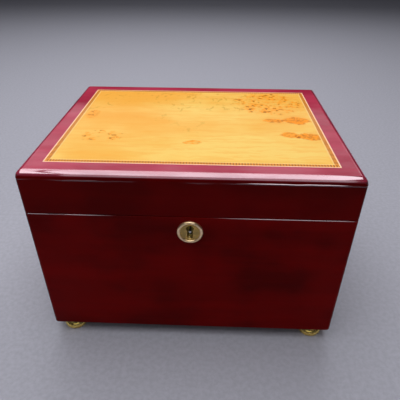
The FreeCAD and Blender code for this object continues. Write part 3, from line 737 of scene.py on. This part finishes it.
def mitre(board, side):
    """Slants both ends of a board on one side of the box, so that it meets its neighbours."""
    low = Vector(board.bound_box[0])
    high = Vector(board.bound_box[6])
    run, depth = (0, 1) if side in ("front", "back") else (1, 0)
    inner = high[depth] if side in ("front", "left") else low[depth]
    thickness = high[depth] - low[depth]
    near = thickness / 10
    alone(board)
    bpy.ops.object.mode_set(mode="EDIT")
    for end, sign in ((low[run], 1), (high[run], -1)):
        select_points(lambda co: abs(co[depth] - inner) < near and abs(co[run] - end) < near)
        shift = [0, 0, 0]
        shift[run] = sign * thickness
        bpy.ops.transform.translate(value=shift)
    bpy.ops.object.mode_set(mode="OBJECT")


def apply_modifier(piece, modifier):
    """Applies one modifier of a piece."""
    alone(piece)
    bpy.ops.object.modifier_apply(modifier=modifier.name)


def carve(piece, tool, operation="DIFFERENCE"):
    """Cuts a tool out of a piece, or adds it to the piece, and takes the tool away."""
    modifier = piece.modifiers.new("carve", "BOOLEAN")
    modifier.operation = operation
    modifier.solver = "EXACT"
    modifier.object = tool
    apply_modifier(piece, modifier)
    bpy.data.objects.remove(tool)


def round_edges(piece, radius, segments):
    """Rounds a piece's sharp edges and shades it smooth."""
    modifier = piece.modifiers.new("round", "BEVEL")
    modifier.width = radius
    modifier.segments = segments
    modifier.limit_method = "ANGLE"
    modifier.angle_limit = ROUNDED_FROM
    modifier.harden_normals = True
    apply_modifier(piece, modifier)
    bpy.ops.object.shade_smooth_by_angle(angle=SMOOTH_UP_TO)


def join(pieces, name):
    """Joins pieces into the first one and names it."""
    bpy.ops.object.select_all(action="DESELECT")
    for piece in pieces:
        piece.select_set(True)
    bpy.context.view_layer.objects.active = pieces[0]
    if len(pieces) > 1:
        bpy.ops.object.join()
    pieces[0].name = name
    return pieces[0]


def settle(piece, body, slot, finish, *replaced):
    """Gives a finished piece its finish and its place in the frame."""
    piece.data.materials.clear()
    piece.data.materials.append(finish)
    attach(piece, body)
    if replaced:
        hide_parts(*replaced)


def sewn_pad(name, low, high, open_side, look):
    """A thin pad: a cover glued down on one side and blown up by its filling on the open side."""
    inset = Vector((look.pad_inset, look.pad_inset, 0))
    low = Vector(low) + inset
    high = Vector(high) - inset
    glued_z, open_z = (low.z, high.z) if open_side > 0 else (high.z, low.z)
    rise = open_z - glued_z - open_side * look.pad_swell / 2
    size = high - low
    bpy.ops.object.select_all(action="DESELECT")
    cells = [max(4, round(side / look.pad_cell)) for side in size[:2]]
    middle = (low + high) / 2
    bpy.ops.mesh.primitive_grid_add(
        x_subdivisions=cells[0], y_subdivisions=cells[1], size=1, location=(middle.x, middle.y, glued_z))
    pad = bpy.context.object
    pad.name = name
    bpy.ops.transform.resize(value=(size.x, size.y, 1))
    bpy.ops.object.transform_apply(location=True, rotation=True, scale=True)
    bpy.ops.object.mode_set(mode="EDIT")
    bpy.ops.mesh.select_all(action="SELECT")
    bpy.ops.mesh.extrude_region_move(TRANSFORM_OT_translate={"value": (0, 0, rise)})
    bpy.ops.mesh.select_all(action="SELECT")
    bpy.ops.mesh.normals_make_consistent(inside=False)
    bpy.ops.object.mode_set(mode="OBJECT")
    blow_up(pad, glued_z, look.pad_swell)
    modifier = pad.modifiers.new("smooth", "SUBSURF")
    modifier.levels = 1
    modifier.render_levels = 1
    apply_modifier(pad, modifier)
    bpy.ops.object.shade_smooth()
    return pad


def blow_up(pad, glued_z, most):
    """Simulates a pad's cover under the pressure of its filling, held where it is glued."""
    rest = [point.co.copy() for point in pad.data.vertices]
    glued = pad.vertex_groups.new(name="glued")
    glued.add([i for i, co in enumerate(rest) if abs(co.z - glued_z) < SAME_LEVEL], 1.0, "ADD")
    modifier = pad.modifiers.new("cover", "CLOTH")
    cover = modifier.settings
    cover.vertex_group_mass = glued.name
    cover.use_pressure = True
    cover.uniform_pressure_force = COVER_PRESSURE
    cover.effector_weights.gravity = 0.0
    cover.tension_stiffness = COVER_STIFFNESS
    cover.compression_stiffness = COVER_STIFFNESS
    scene = bpy.context.scene
    for frame_number in range(1, COVER_FRAMES + 1):
        scene.frame_set(frame_number)
    apply_modifier(pad, modifier)
    scene.frame_set(1)
    for point, start in zip(pad.data.vertices, rest):
        shift = point.co - start
        if shift.length > 0:
            point.co = start + shift.normalized() * most * math.tanh(shift.length / most)


def solid_places(node):
    """The separate solids of a node, each as a list of its points."""
    mesh = bmesh.new()
    mesh.from_mesh(frame["nodes"][node].data)
    bmesh.ops.remove_doubles(mesh, verts=mesh.verts, dist=SAME_PLACE)
    left = set(mesh.verts)
    solids = []
    while left:
        front = [left.pop()]
        solid = []
        while front:
            point = front.pop()
            solid.append(point.co.copy())
            for edge in point.link_edges:
                other = edge.other_vert(point)
                if other in left:
                    left.remove(other)
                    front.append(other)
        solids.append(solid)
    mesh.free()
    return sorted(solids, key=lambda solid: tuple(round(c, 5) for c in sum(corners(solid), Vector()) / 2))


def corners(points):
    """The lowest and the highest corner of the points' box."""
    return Vector(map(min, zip(*points))), Vector(map(max, zip(*points)))


def screw_pose(points):
    """Where a screw's head lies, which way it faces, its radius and its length, from its solid's points."""
    low, high = corners(points)
    head = (low + high) / 2
    size = high - low
    axis = max(range(3), key=lambda i: size[i])
    side = (axis + 1) % 3
    radii = {}
    for end in (low[axis], high[axis]):
        radii[end] = max(abs(co[side] - head[side]) for co in points if abs(co[axis] - end) < SAME_LEVEL)
    end = max(radii, key=radii.get)
    head[axis] = end
    facing = Vector((0, 0, 0))
    facing[axis] = 1 if end == high[axis] else -1
    return head, facing, radii[end], size[axis]


def slotted_screw(radius, depth, slot):
    """A countersunk screw with a slotted head at the origin, facing +Z."""
    bpy.ops.object.select_all(action="DESELECT")
    bpy.ops.mesh.primitive_circle_add(
        vertices=SCREW_SIDES, radius=radius, fill_type="NGON", location=(0, 0, 0))
    piece = bpy.context.object
    shank = depth - SCREW_RIM - SCREW_TAPER - SCREW_TIP
    bpy.ops.object.mode_set(mode="EDIT")
    bpy.ops.mesh.select_all(action="SELECT")
    for drop, shrink in ((SCREW_RIM, 1), (SCREW_TAPER, SHANK_SHARE), (shank, 1), (SCREW_TIP, TIP_SHARE)):
        bpy.ops.mesh.extrude_region_move(TRANSFORM_OT_translate={"value": (0, 0, -drop)})
        bpy.ops.transform.resize(value=(shrink, shrink, 1))
    bpy.ops.mesh.select_all(action="SELECT")
    bpy.ops.mesh.normals_make_consistent(inside=False)
    bpy.ops.object.mode_set(mode="OBJECT")
    reach = 2 * radius
    carve(piece, add_block("slot", (-reach, -slot / 2, -SLOT_DEPTH), (reach, slot / 2, SLOT_CLEAR)))
    round_edges(piece, SCREW_ROUND, 2)
    return piece


def screw_group(name, node, look):
    """Copies of a slotted screw in the places of a node's plain ones, joined as one piece."""
    models = {}
    copies = []
    for index, points in enumerate(solid_places(node)):
        head, facing, radius, depth = screw_pose(points)
        size = (round(radius, 6), round(depth, 6))
        if size not in models:
            models[size] = slotted_screw(radius, depth, look.screw_slot)
        piece = models[size].copy()
        piece.data = models[size].data.copy()
        bpy.context.collection.objects.link(piece)
        turn = facing.to_track_quat("Z", "Y").to_matrix().to_4x4()
        slant = Matrix.Rotation(math.radians(NEXT_SLANT * index + FIRST_SLANT), 4, "Z")
        piece.data.transform(Matrix.Translation(head) @ turn @ slant)
        copies.append(piece)
    for model in models.values():
        bpy.data.objects.remove(model)
    return join(copies, name)


class KEEPSAKE_OT_woodwork(bpy.types.Operator):
    """Lacquers the walls, the base board and the lid"""

    bl_idname = "keepsake.woodwork"
    bl_label = "Lacquered woodwork"

    def execute(self, context):
        look = context.scene.keepsake_lacquer
        along_x = lacquer("lacquer_along_x", look, "X")
        along_y = lacquer("lacquer_along_y", look, "Y")
        paint(["front_wall", "back_wall", "base_board"], along_x)
        paint(["lid_top_board", "lid_front_rail", "lid_back_rail"], along_x)
        paint(["left_wall", "right_wall", "lid_left_rail", "lid_right_rail"], along_y)
        return {"FINISHED"}


class KEEPSAKE_OT_inlay(bpy.types.Operator):
    """Finishes the burl panel, the strings and the banding"""

    bl_idname = "keepsake.inlay"
    bl_label = "Inlaid top"

    def execute(self, context):
        look = context.scene.keepsake_inlay
        paint(["burl_panel"], burl("burl", look))
        paint(["inlay_outer_string"], stringing("outer_string", look, look.string))
        paint(["inlay_inner_string"], stringing("inner_string", look, look.inner_string))
        paint(["inlay_banding"], banding("banding", look))
        return {"FINISHED"}


class KEEPSAKE_OT_brass(bpy.types.Operator):
    """Finishes the feet, the keyhole plate, the hinges and the lock"""

    bl_idname = "keepsake.brass"
    bl_label = "Brass and steel"

    def execute(self, context):
        look = context.scene.keepsake_brass
        steel = ["lock_bolt", "lock_spring", "lock_drill_pin"]
        fittings = set(nodes_named("lock_", "strike_", "hinge_")) - set(steel)
        paint(nodes_named("foot_"), polished_brass("polished_brass", look))
        paint(["escutcheon"], plate_brass("plate_brass", look))
        paint(sorted(fittings), brushed_metal("fittings_brass", look.bright, look.shade, BRASS_ROUGHNESS))
        paint(steel, brushed_metal("lock_steel", look.steel, look.steel, STEEL_ROUGHNESS))
        return {"FINISHED"}


def keyhole_bar(look, margin, front, back):
    """A bar with the keyhole's section, made larger by a margin, between two places along Y."""
    ends = ((look.keyhole_radius, look.keyhole_rise), (look.slot_half, -look.slot_drop))
    bars = []
    for radius, rise in ends:
        bpy.ops.object.select_all(action="DESELECT")
        bpy.ops.mesh.primitive_cylinder_add(
            vertices=KEYHOLE_SIDES, radius=radius + margin, depth=back - front,
            location=(0, (front + back) / 2, KEY_Z + rise), rotation=(math.pi / 2, 0, 0))
        bpy.ops.object.transform_apply(location=True, rotation=True, scale=True)
        bars.append(bpy.context.object)
    half = look.slot_half + margin
    low = (-half, front, KEY_Z - look.slot_drop)
    high = (half, back, KEY_Z + look.keyhole_rise)
    bars.append(add_block("slot", low, high))
    for other in bars[1:]:
        carve(bars[0], other, "UNION")
    return bars[0]


class KEEPSAKE_OT_sleeve(bpy.types.Operator):
    """Models the thin brass sleeve that lines the keyhole"""

    bl_idname = "keepsake.sleeve"
    bl_label = "Keyhole sleeve"

    def execute(self, context):
        look = context.scene.keepsake_brass
        front = FRONT_Y - look.sleeve_proud
        back = front + look.sleeve_depth
        sleeve = keyhole_bar(look, look.sleeve_wall, front, back)
        bore = keyhole_bar(look, -look.sleeve_lip, front - BORE_CLEAR, back + BORE_CLEAR)
        alone(bore)
        bpy.ops.object.mode_set(mode="EDIT")
        select_points(lambda co: co.y < front)
        bpy.ops.transform.resize(value=BORE_FLARE)
        bpy.ops.object.mode_set(mode="OBJECT")
        carve(sleeve, bore)
        sleeve.name = "keyhole_sleeve"
        round_edges(sleeve, SLEEVE_ROUND, 2)
        settle(sleeve, "box", "polished_brass", bpy.data.materials["polished_brass"])
        return {"FINISHED"}


class KEEPSAKE_OT_screws(bpy.types.Operator):
    """Models slotted screws in the hinges, the lock and its strike"""

    bl_idname = "keepsake.screws"
    bl_label = "Slotted screws"

    def execute(self, context):
        look = context.scene.keepsake_brass
        finish = bpy.data.materials["fittings_brass"]
        groups = (("lock_screws", "box"), ("hinge_body_screws", "box"),
                  ("strike_screws", "lid"), ("hinge_lid_screws", "lid"))
        for node, body in groups:
            settle(screw_group(f"slotted_{node}", node, look), body, "fittings_brass", finish, node)
        return {"FINISHED"}


class KEEPSAKE_OT_lining(bpy.types.Operator):
    """Models the velvet covered boards in the body and the lid"""

    bl_idname = "keepsake.lining"
    bl_label = "Covered boards"

    def execute(self, context):
        look = context.scene.keepsake_lining
        finish = velvet("velvet", look)
        for start, body in (("liner", "box"), ("lid_liner", "lid")):
            for side in SIDES:
                node = f"{start}_{side}"
                board = add_block(f"covered_{node}", *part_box(node))
                mitre(board, side)
                if node == "liner_front":
                    carve(board, self.lock_notch(look))
                round_edges(board, look.board_round, 4)
                settle(board, body, "velvet", finish, node)
        return {"FINISHED"}

    def lock_notch(self, look):
        """A block where the lock's back plate passes through the front board."""
        low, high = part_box("lock_back_plate")
        room = Vector((look.lock_room, look.wall_room, look.lock_room))
        top = Vector((0, 0, look.wall_room))
        return add_block("lock_notch", low - room, high + room + top)


class KEEPSAKE_OT_pads(bpy.types.Operator):
    """Models the soft pads on the floor and in the lid"""

    bl_idname = "keepsake.pads"
    bl_label = "Soft pads"

    def execute(self, context):
        look = context.scene.keepsake_lining
        finish = bpy.data.materials["velvet"]
        for node, body, open_side in (("base_pad", "box", 1), ("lid_pad", "lid", -1)):
            pad = sewn_pad(f"soft_{node}", *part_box(node), open_side, look)
            settle(pad, body, "velvet", finish, node)
        return {"FINISHED"}


class KEEPSAKE_OT_tray(bpy.types.Operator):
    """Models the tray's walls, dividers and soft cards"""

    bl_idname = "keepsake.tray"
    bl_label = "Lift-out tray"

    def execute(self, context):
        look = context.scene.keepsake_tray
        lining = context.scene.keepsake_lining
        pile = bpy.data.materials["velvet"]
        along_x = satin_wood("tray_wood_along_x", look, "X")
        along_y = satin_wood("tray_wood_along_y", look, "Y")
        for side in SIDES:
            node = f"tray_{side}"
            low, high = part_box(node)
            wall = add_block(f"rounded_{node}", low, high)
            mitre(wall, side)
            if side in ("left", "right"):
                carve(wall, self.notch(low, high, look))
            round_edges(wall, look.edge_round, 3)
            settle(wall, "tray", "tray_wood", along_x if side in ("front", "back") else along_y, node)
        for node in ("tray_long_divider", "tray_front_dividers", "tray_back_divider"):
            self.divider(node, look, along_x if node == "tray_long_divider" else along_y)
        paint(["tray_rests"], along_y)
        paint(["tray_floor"], pile)
        floor_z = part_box("tray_floor")[1].z
        for name, (low, high) in COMPARTMENTS.items():
            foot = (low[0], low[1], floor_z)
            head = (high[0], high[1], floor_z + lining.card)
            card = sewn_pad(f"soft_card_{name}", foot, head, 1, lining)
            settle(card, "tray", "velvet", pile)
        return {"FINISHED"}

    def notch(self, low, high, look):
        """A round bar where a finger notch is cut."""
        bpy.ops.object.select_all(action="DESELECT")
        middle = (low + high) / 2
        place = (middle.x, middle.y, high.z + look.notch_radius - look.notch_depth)
        bpy.ops.mesh.primitive_cylinder_add(
            vertices=NOTCH_SIDES, radius=look.notch_radius, depth=3 * (high.x - low.x), location=place,
            rotation=(0, math.pi / 2, 0))
        bar = bpy.context.object
        bpy.ops.object.transform_apply(location=True, rotation=True, scale=True)
        return bar

    def divider(self, node, look, finish):
        """The dividers of one node, each a rounded board, joined as one piece."""
        boards = []
        for index, points in enumerate(solid_places(node)):
            boards.append(add_block(f"rounded_{node}_{index}", *corners(points)))
            round_edges(boards[-1], look.edge_round, 3)
        settle(join(boards, f"rounded_{node}"), "tray", "tray_wood", finish, node)


# Studio, in metres: the floor, and each softbox's place, the point that it faces, its width and its height
FLOOR_SIZE = 14
FLOOR_LUMPS = 220
FLOOR_SHADE = 0.88
SOFTBOXES = {
    "overhead": ((-0.0075, 0.14, 1.25), (-0.0075, 0.14, 0), 1.105, 2.04),
    "overhead_left": ((-0.75, 0.14, 1.25), (-0.75, 0.14, 0), 0.30, 2.04),
    "back_panel": ((0, 1.5, 1.15), (0, 0, 0.19), 2.4, 0.8),
    "front_panel": ((0, -1.25, 1.08), (0, -0.11, 0.19), 1.3, 0.83),
}
SENSOR_WIDTH = 36
CLIP_NEAR = 0.01
CLIP_FAR = 100


class KEEPSAKE_OT_studio(bpy.types.Operator):
    """Sets up the floor, the lights and the camera"""

    bl_idname = "keepsake.studio"
    bl_label = "Studio"

    def execute(self, context):
        look = context.scene.keepsake_studio
        self.floor(look)
        world = bpy.data.worlds.new("room")
        world.use_nodes = True
        world.node_tree.nodes["Background"].inputs["Color"].default_value = tuple(look.surround)
        context.scene.world = world
        levels = {"overhead": look.overhead, "overhead_left": look.overhead,
                  "back_panel": look.back_panel, "front_panel": look.front_panel}
        for name, level in levels.items():
            self.softbox(name, *SOFTBOXES[name], level)
        bpy.ops.object.camera_add(location=look.camera_place, rotation=look.camera_turn)
        camera = bpy.context.object
        camera.data.sensor_width = SENSOR_WIDTH
        camera.data.lens = look.lens
        camera.data.clip_start = CLIP_NEAR
        camera.data.clip_end = CLIP_FAR
        context.scene.camera = camera
        context.scene.view_settings.view_transform = "Standard"
        return {"FINISHED"}

    def floor(self, look):
        """A wide, plain, faintly mottled floor."""
        bpy.ops.object.select_all(action="DESELECT")
        bpy.ops.mesh.primitive_plane_add(size=FLOOR_SIZE, location=(0, 0, 0))
        floor = bpy.context.object
        floor.name = "floor"
        finish, shader, place = new_finish("floor", Specular_Ior_Level=0.2, Roughness=0.7)
        mottle = patches(place, FLOOR_LUMPS, 4, 0.3, 0.7, 0.6)
        dark = [FLOOR_SHADE * channel for channel in look.floor[:3]] + [1.0]
        feed(shader.inputs["Base Color"], mix(mottle, dark, tuple(look.floor)))
        floor.data.materials.append(finish)

    def softbox(self, name, place, aim, width, height, radiance):
        """A rectangular light of a given radiance that faces a point."""
        bpy.ops.object.light_add(type="AREA", location=place)
        lamp = bpy.context.object
        lamp.name = name
        lamp.rotation_euler = (Vector(aim) - Vector(place)).to_track_quat("-Z", "Y").to_euler()
        lamp.data.shape = "RECTANGLE"
        lamp.data.size = width
        lamp.data.size_y = height
        lamp.data.energy = radiance * math.pi * width * height


class KEEPSAKE_PT_sidebar(bpy.types.Panel):
    """Lists the steps in the 3D view's sidebar"""

    bl_label = "Keepsake Box"
    bl_idname = "KEEPSAKE_PT_sidebar"
    bl_space_type = "VIEW_3D"
    bl_region_type = "UI"
    bl_category = "Keepsake"

    def draw(self, context):
        for operator in OPERATORS:
            self.layout.operator(operator.bl_idname)


SETTINGS = {
    "keepsake_lacquer": LacquerSettings,
    "keepsake_inlay": InlaySettings,
    "keepsake_brass": BrassSettings,
    "keepsake_lining": LiningSettings,
    "keepsake_tray": TraySettings,
    "keepsake_studio": StudioSettings,
}
OPERATORS = (
    KEEPSAKE_OT_woodwork,
    KEEPSAKE_OT_inlay,
    KEEPSAKE_OT_brass,
    KEEPSAKE_OT_sleeve,
    KEEPSAKE_OT_screws,
    KEEPSAKE_OT_lining,
    KEEPSAKE_OT_pads,
    KEEPSAKE_OT_tray,
    KEEPSAKE_OT_studio,
)


def register():
    for name, group in SETTINGS.items():
        bpy.utils.register_class(group)
        setattr(bpy.types.Scene, name, PointerProperty(type=group))
    for item in (*OPERATORS, KEEPSAKE_PT_sidebar):
        bpy.utils.register_class(item)


def unregister():
    for item in (KEEPSAKE_PT_sidebar, *reversed(OPERATORS)):
        bpy.utils.unregister_class(item)
    for name, group in reversed(SETTINGS.items()):
        delattr(bpy.types.Scene, name)
        bpy.utils.unregister_class(group)


def main():
    register()
    bpy.ops.keepsake.woodwork()
    bpy.ops.keepsake.inlay()
    bpy.ops.keepsake.brass()
    bpy.ops.keepsake.sleeve()
    bpy.ops.keepsake.screws()
    bpy.ops.keepsake.lining()
    bpy.ops.keepsake.pads()
    bpy.ops.keepsake.tray()
    bpy.ops.keepsake.studio()


if __name__ == "__main__":
    main()
